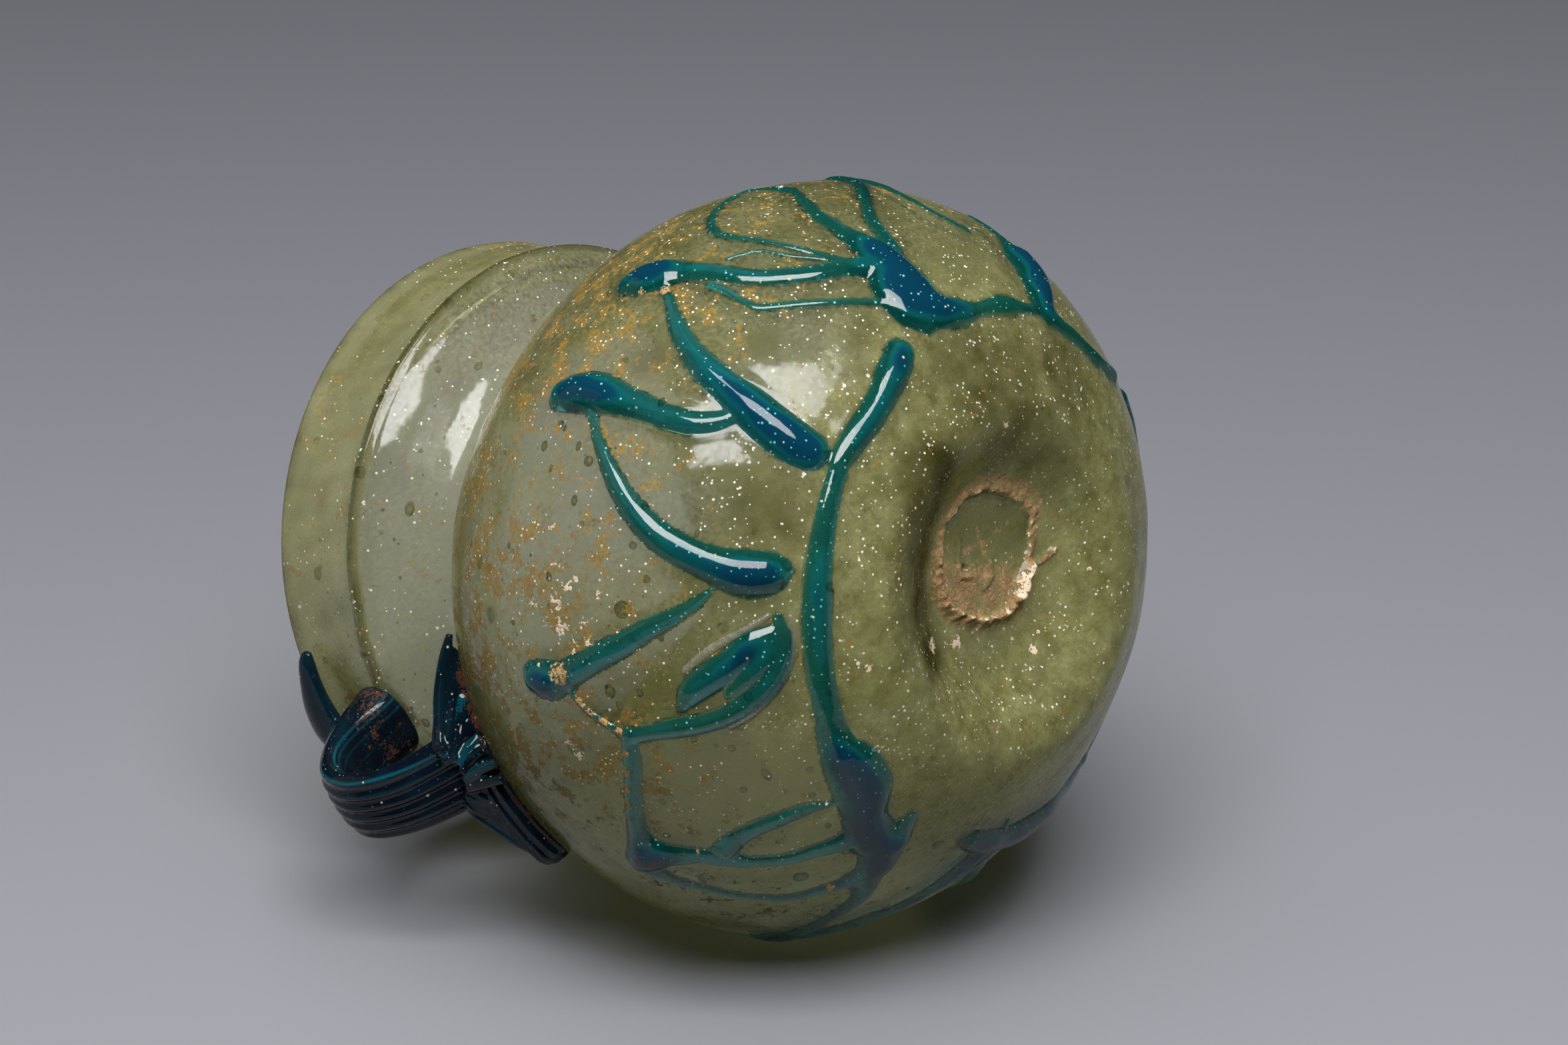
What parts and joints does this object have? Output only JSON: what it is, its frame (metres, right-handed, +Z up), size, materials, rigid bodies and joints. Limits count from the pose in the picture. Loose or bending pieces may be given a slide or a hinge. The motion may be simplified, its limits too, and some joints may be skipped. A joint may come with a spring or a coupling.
{
  "type": "trailed glass jar",
  "caption": "Free-blown wide-mouthed glass jar with a ribbed strap handle, a folded mouth band, a broken pontil ring under its base and a zigzag vine trailed round its belly.",
  "frame": {"origin": "in the plane that the jar stands on, under the middle of its bounding box", "axes": "+Z up along the jar's axis, which stands 3.8 mm to the -X side of the origin, +X towards the handle"},
  "size_m": [0.1036, 0.099, 0.094],
  "materials": {
    "olive_glass": "clear, bubbly and hazed by weathering",
    "dark_blue_glass": "glossy, almost opaque where thick",
    "turquoise_glass": "glossy, with crusts of deposit"
  },
  "bodies": {
    "root": {"vessel": "olive_glass", "handle": "dark_blue_glass", "vine_front": "turquoise_glass", "vine_back": "turquoise_glass"}
  },
  "joints": []
}
